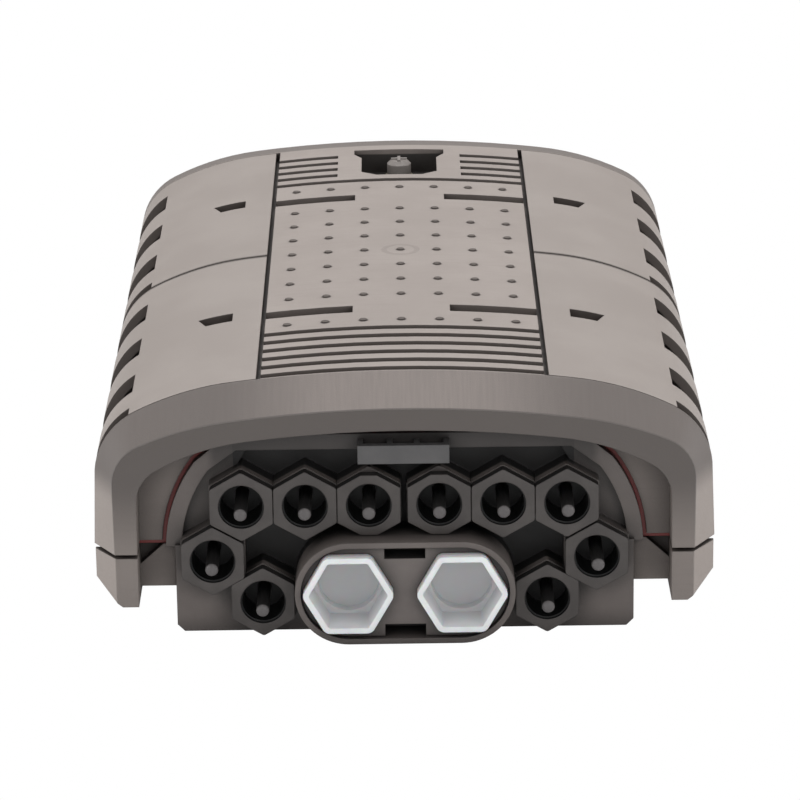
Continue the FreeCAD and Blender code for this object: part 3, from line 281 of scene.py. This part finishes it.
# Tray strap: a black woven hook-and-loop band, closed in a loop round the three trays and their lid to
# keep them together.
strap_black, strap_crest = (0.020, 0.020, 0.020, 1), (0.045, 0.045, 0.045, 1)
strap = Finish("strap_fabric")
weave = strap.node("ShaderNodeTexWave", {"bands_direction": "Z"}, {"Vector": strap.place(), "Scale": 400.0})
strap.feed(Base_Color=strap.mix(weave, strap_black, strap_crest), Roughness=0.85,
           Normal=strap.relief(weave, strength=0.4, depth=0.0003, rounding=0.0003))
strap.paint("tray_strap")

# End plate with its ten tubes and oval collar: one dark taupe moulding held between the shells, with
# painted
# shade: black in the deep bay round the tubes, darker on the shelf behind the clip and in the narrow gaps.
taupe, taupe_crest = (0.126, 0.108, 0.100, 1), (0.152, 0.131, 0.122, 1)
bay_half, bay_half_soft, bay_y, bay_y_soft = 0.0582, 0.0003, -0.1412, 0.0006
bay_floor, bay_floor_soft, bay_painted_shade = 0.0195, 0.0005, (0.007, 0.006, 0.006, 1)
shelf_half, shelf_half_soft, shelf_y, shelf_y_soft = 0.0640, 0.004, -0.1422, 0.0010
shelf_low, shelf_high, shelf_painted_shade, shelf_share = 0.056, 0.064, (0.020, 0.019, 0.019, 1), 0.55
gap_painted_shade, gap_reach, gap_power = (0.010, 0.009, 0.009, 1), 0.008, 1.2
port = Finish("port_plastic")
across, along, rise = port.axis("X"), port.axis("Y"), port.axis("Z")
grain = port.noise(scale=1900.0, detail=2.0, rough=0.6)
cloud = port.noise(scale=40.0, detail=4.0, rough=0.6)
tone = port.mottled(cloud, taupe, taupe_crest)
bay = abs(across).below(bay_half, bay_half_soft) * along.above(bay_y, bay_y_soft)
tone = port.mix(bay * rise.above(bay_floor, bay_floor_soft), tone, bay_painted_shade)
shelf = abs(across).below(shelf_half, shelf_half_soft) * along.above(shelf_y, shelf_y_soft)
tone = port.mix(shelf_share * shelf * rise.step(shelf_low, shelf_high), tone, shelf_painted_shade)
tone = port.hollow(tone, gap_painted_shade, gap_reach, gap_power)
port.feed(Base_Color=tone, Roughness=0.45 + 0.12 * cloud,
          Normal=port.relief(grain, strength=0.3, depth=0.0002, rounding=0.0005))
port.paint("port_block")

# Insert in the collar: one moulded block of the same taupe plastic with two hexagonal seats, pushed in
# from the front, painted a little paler for the light on it and darker in its seats for shade.
lit_taupe, lit_taupe_crest = (0.160, 0.138, 0.129, 1), (0.190, 0.166, 0.155, 1)
seat_painted_shade, seat_reach, seat_power = (0.012, 0.011, 0.011, 1), 0.010, 1.6
insert = Finish("insert_plastic")
cloud = insert.noise(scale=60.0, detail=4.0, rough=0.6)
tone = insert.mottled(cloud, lit_taupe, lit_taupe_crest)
tone = insert.hollow(tone, seat_painted_shade, seat_reach, seat_power)
insert.feed(Base_Color=tone, Roughness=0.45 + 0.12 * cloud,
            Normal=insert.relief(cloud, strength=0.2, depth=0.0002, rounding=0.0005))
insert.paint("main_port_insert")

# Two main port caps: hexagonal cups moulded in milky soft plastic and pushed into the insert, white at the
# rim, where the wall is seen end on, and painted greyer towards the floor for the shade in the cup.
milk, milk_crest, milk_painted_shade = (0.86, 0.87, 0.89, 1), (0.94, 0.95, 0.96, 1), (0.66, 0.66, 0.67, 1)
rim_front, cup_deep = -0.1572, -0.1440
milky = Finish("cap_milky")
cloud = milky.noise(scale=120.0, detail=3.0, rough=0.5)
tone = milky.mottled(cloud, milk, milk_crest, low=0.3)
tone = milky.mix(milky.axis("Y").step(rim_front, cup_deep), tone, milk_painted_shade)
milky.feed(Base_Color=tone, Roughness=0.32, Subsurface_Weight=0.35, Subsurface_Scale=0.003,
           Normal=milky.relief(cloud, strength=0.1, depth=0.0003, rounding=0.0006))
milky.paint("main_cap_left", "main_cap_right")

# Ten blanking plugs: satin dark mouldings pushed into the tubes, with painted shade black inside and dark
# on their sides, each with a grip pin painted dark for its shade and with a painted highlight of paler grey
# on its tip. The middle two of the top row have their hexagon cut level above and below, so the distance
# from their axis is measured over a lower box.
plug_dark, plug_crest = (0.058, 0.051, 0.048, 1), (0.078, 0.069, 0.065, 1)
plug_width, plug_height, cut_height = 0.0215, 0.02446, 0.02160
side_y, side_soft, side_share, side_painted_shade = -0.1484, 0.0006, 0.85, (0.010, 0.009, 0.009, 1)
mouth_r, mouth_y, mouth_soft, mouth_painted_shade = 0.00784, -0.14846, 0.0001, (0.005, 0.005, 0.005, 1)
pin_r, pin_soft, pin_painted_shade = 0.0024, 0.0003, (0.013, 0.012, 0.012, 1)
tip_y, tip_soft, tip_painted_light = -0.1566, 0.0006, (0.105, 0.097, 0.097, 1)
for name, height, numbers in (("plug_plastic", plug_height, (1, 2, 5, 6, 7, 8, 9, 10)),
                              ("plug_cut_plastic", cut_height, (3, 4))):
    plug = Finish(name)
    along = plug.axis("Y")
    across = (plug.axis("X", "Generated") - 0.5) * plug_width
    rise = (plug.axis("Z", "Generated") - 0.5) * height
    grain = plug.noise(scale=1500.0, detail=2.0, rough=0.6)
    cloud = plug.noise(scale=90.0, detail=4.0, rough=0.6)
    tone = plug.mottled(cloud, plug_dark, plug_crest)
    tone = plug.mix(side_share * along.above(side_y, side_soft), tone, side_painted_shade)
    from_axis = (across * across + rise * rise) ** 0.5
    inside = from_axis.below(mouth_r, mouth_soft) * along.above(mouth_y, mouth_soft)
    tone = plug.mix(inside, tone, mouth_painted_shade)
    pin = from_axis.below(pin_r, pin_soft)
    tone = plug.mix(pin, tone, pin_painted_shade)
    tone = plug.mix(pin * along.below(tip_y, tip_soft), tone, tip_painted_light)
    plug.feed(Base_Color=tone, Roughness=0.40 + 0.15 * cloud,
              Normal=plug.relief(grain, strength=0.2, depth=0.0002, rounding=0.0006))
    plug.paint(*["port_plug_%02d" % number for number in numbers])

# Clip above the ports: one neutral grey moulding, a level bar on four short posts that stand on the arch
# of the end plate.
clip_grey, clip_crest = (0.086, 0.084, 0.085, 1), (0.106, 0.103, 0.104, 1)
clip = Finish("clip_plastic")
cloud = clip.noise(scale=80.0, detail=4.0, rough=0.6)
clip.feed(Base_Color=clip.mottled(cloud, clip_grey, clip_crest), Roughness=0.42 + 0.12 * cloud,
          Normal=clip.relief(cloud, strength=0.2, depth=0.0002, rounding=0.0004))
clip.paint("front_clip")

# Seal between the shells: one moulded red silicone ring, squeezed on the seam and over the arch of the end
# plate, so that only its edge shows.
seal_red, seal_crest = (0.17, 0.028, 0.026, 1), (0.24, 0.040, 0.036, 1)
seal = Finish("seal_silicone")
cloud = seal.noise(scale=80.0, detail=3.0, rough=0.5)
seal.feed(Base_Color=seal.mix(cloud, seal_red, seal_crest), Roughness=0.45,
          Normal=seal.relief(cloud, strength=0.1, depth=0.0003, rounding=0.0004))
seal.paint("seal_ring")

# Test valve: a turned brass body with its core, clamped through the floor of the well by a hexagonal nut
# from inside.
brass, brass_bright = (0.50, 0.45, 0.33, 1), (0.60, 0.54, 0.42, 1)
valve = Finish("valve_brass")
streak = valve.noise(scale=900.0, detail=3.0, rough=0.6)
valve.feed(Base_Color=valve.mix(streak, brass, brass_bright), Metallic=1.0, Roughness=0.28 + 0.2 * streak,
           Normal=valve.relief(streak, strength=0.1, depth=0.0001, rounding=0.0003))
valve.paint("valve_body", "valve_core", "valve_nut")

# Valve cap: a small moulded plastic cap with a raised cross on top to grip it by, screwed on the stem of
# the valve.
valve_cap_skin, valve_cap_crest = (0.19, 0.17, 0.158, 1), (0.26, 0.235, 0.22, 1)
valve_cap = Finish("valve_cap_plastic")
cloud = valve_cap.noise(scale=500.0, detail=3.0, rough=0.6)
valve_cap.feed(Base_Color=valve_cap.mix(cloud, valve_cap_skin, valve_cap_crest), Roughness=0.4,
               Normal=valve_cap.relief(cloud, strength=0.2, depth=0.0002, rounding=0.0004))
valve_cap.paint("valve_cap")

# Latch pins, tray hinge pin and carrier screws: drawn and turned stainless steel. The latch pins lie in the
# lugs of the base rails, the hinge pin in the carrier's cheeks, and the screws hold the carrier down.
steel_grey, steel_bright = (0.48, 0.48, 0.47, 1), (0.60, 0.60, 0.59, 1)
steel = Finish("pin_steel")
streak = steel.noise(scale=700.0, detail=3.0, rough=0.6)
steel.feed(Base_Color=steel.mix(streak, steel_grey, steel_bright), Metallic=1.0,
           Roughness=0.25 + 0.2 * streak,
           Normal=steel.relief(streak, strength=0.1, depth=0.0001, rounding=0.0003))
steel.paint("latch_pin_front_left", "latch_pin_front_right", "latch_pin_rear_left", "latch_pin_rear_right",
            "tray_hinge_pin", "carrier_screws")

# Side latches: four curved panels moulded in the plastic of the shells from another tool, so a shade
# darker. Each swings on a pin along the base rail. Painted shade darkens their end faces, their slots and
# the seam.
latch_skin, latch_crest = (0.270, 0.235, 0.215, 1), (0.296, 0.260, 0.239, 1)
seam_y, seam_half, seam_soft, seam_painted_shade = 0.0056, 0.0011, 0.0012, (0.060, 0.048, 0.042, 1)
end_low, end_high, end_painted_shade = 0.85, 0.95, (0.062, 0.049, 0.043, 1)
slot_painted_shade, slot_reach, slot_power, shade_share = (0.045, 0.035, 0.031, 1), 0.008, 1.3, 0.85
latch = Finish("latch_plastic")
grain = latch.noise(scale=2600.0, detail=2.0, rough=0.6)
cloud = latch.noise(scale=30.0, detail=4.0, rough=0.6)
tone = latch.mottled(cloud, latch_skin, latch_crest)
seam = abs(latch.axis("Y") - seam_y).below(seam_half, seam_soft)
tone = latch.mix(shade_share * seam, tone, seam_painted_shade)
facing = latch.node("ShaderNodeNewGeometry", {}, {}, "True Normal")
end_face = abs(latch.node("ShaderNodeSeparateXYZ", {}, {"Vector": facing}, "Y")).step(end_low, end_high)
tone = latch.mix(shade_share * end_face, tone, end_painted_shade)
tone = latch.hollow(tone, slot_painted_shade, slot_reach, slot_power)
latch.feed(Base_Color=tone, Roughness=0.50 + 0.12 * cloud,
           Normal=latch.relief(grain, strength=0.35, depth=0.0002, rounding=0.0006))
latch.paint("latch_front_left", "latch_front_right", "latch_rear_left", "latch_rear_right")

# Floor: a matt white studio sweep just under the box. It throws light back on the box, and the camera sees
# it as plain white.
white, sweep_grey = (1, 1, 1, 1), (0.75, 0.75, 0.75, 1)
floor_size, floor_drop = 12.0, 0.0005


def white_to_camera(graph, lit, kind, ending):
    """Plain white for the camera in place of a shader, which still lights everything else."""
    seen = graph.node("ShaderNodeLightPath", {}, {}, "Is Camera Ray")
    plain = graph.node(kind, {}, {"Color": white, "Strength": 1.0})
    both = graph.node("ShaderNodeMixShader", {}, {0: seen, 1: Field(graph, lit.outputs[0]), 2: plain})
    graph.join(graph.tree.nodes[ending].inputs["Surface"], both)


bpy.ops.mesh.primitive_plane_add(size=floor_size, location=(0, 0, -floor_drop))
floor = bpy.context.object
floor.name = "floor"
sweep = Finish("studio_white")
sweep.feed(Base_Color=sweep_grey, Roughness=0.9)
white_to_camera(sweep, sweep.shader, "ShaderNodeEmission", "Material Output")
floor.data.materials.append(sweep.material)
floor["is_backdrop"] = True

# World: even white light from all round the studio, at less than half strength, and plain white where the
# camera looks past the floor.
room_light = 0.45
world = bpy.data.worlds.new("studio")
world.use_nodes = True
bpy.context.scene.world = world
room = Graph(world.node_tree)
glow = room.tree.nodes["Background"]
room.join(glow.inputs["Color"], white)
room.join(glow.inputs["Strength"], room_light)
white_to_camera(room, glow, "ShaderNodeBackground", "World Output")

# Lamps: square soft boxes. One wide box hangs high over the rear half, and weaker ones fill from both front
# corners and from both sides. Each has its place and aim in metres, its width and its power in watts.
for name, place, aim, width, power in (
        ("top_box", (0.0, 0.5, 1.6), (0.0, 0.0, 0.05), 1.6, 22.0),
        ("front_left", (-1.1, -1.5, 0.9), (0.0, -0.1, 0.04), 0.9, 5.5),
        ("front_right", (1.1, -1.5, 0.9), (0.0, -0.1, 0.04), 0.9, 7.0),
        ("side_left", (-1.7, 0.1, 0.6), (0.0, 0.0, 0.05), 0.9, 10.0),
        ("side_right", (1.7, 0.1, 0.6), (0.0, 0.0, 0.05), 0.9, 10.0)):
    lamp = bpy.data.lights.new(name, "AREA")
    lamp.size = width
    lamp.energy = power
    holder = bpy.data.objects.new(name, lamp)
    bpy.context.collection.objects.link(holder)
    holder.location = place
    holder.rotation_euler = (Vector(aim) - Vector(place)).to_track_quat("-Z", "Y").to_euler()

# Camera: a long lens in front of the port end, looking down on the box and tipped a little, as the photo
# was taken.
sensor_mm, lens_mm, sees_to = 36.0, 182.25, 50.0
stand, down_degrees, tip_degrees = (-0.0009, -1.4435, 0.5268), 18.8, 0.79
camera = bpy.data.cameras.new("camera")
camera.sensor_width = sensor_mm
camera.lens = lens_mm
camera.clip_end = sees_to
viewer = bpy.data.objects.new("camera", camera)
bpy.context.collection.objects.link(viewer)
down = Matrix.Rotation(math.radians(90.0 - down_degrees), 4, "X")
tip = Matrix.Rotation(math.radians(-tip_degrees), 4, "Z")
viewer.matrix_world = Matrix.Translation(stand) @ (down @ tip)
bpy.context.scene.camera = viewer
bpy.context.scene.view_settings.view_transform = "Standard"

low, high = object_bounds()
{"cad": [list(cad_low), list(cad_high)], "visual": [list(low), list(high)]}
